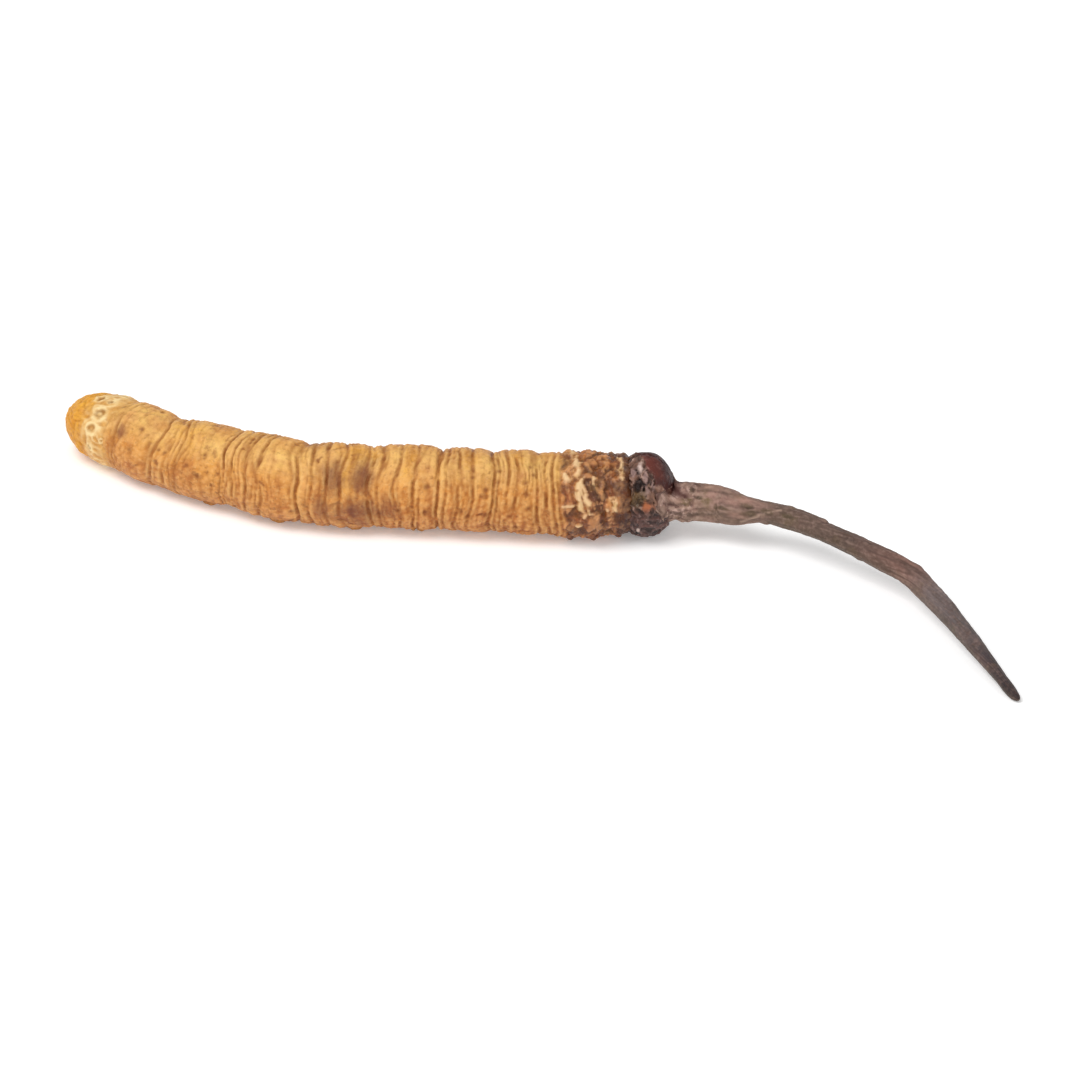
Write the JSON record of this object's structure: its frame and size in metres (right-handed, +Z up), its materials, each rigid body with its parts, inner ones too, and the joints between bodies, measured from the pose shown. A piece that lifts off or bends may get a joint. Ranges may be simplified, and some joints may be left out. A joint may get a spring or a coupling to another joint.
{
  "type": "dried cordyceps",
  "caption": "Dried cordyceps: a ringed, mummified larva lying on its belly, its hard dark head, and a thin bent stalk that tapers to a point.",
  "frame": {"origin": "on the surface it lies on, under the middle of the whole object's box", "axes": "+X along the box's longest side, from the tail towards the stalk's tip; +Z up, out of the larva's back; -Y the side that the stalk bends to"},
  "size_m": [0.0592, 0.033, 0.0053],
  "materials": {
    "dry_skin": "dry satin skin, ochre, with dark brown creases",
    "head_shell": "glossy dark maroon shell",
    "stalk_bark": "matt grey-brown, wrinkled lengthwise"
  },
  "bodies": {
    "root": {"larva_body": "dry_skin", "head": "head_shell", "stalk": "stalk_bark"}
  },
  "joints": []
}
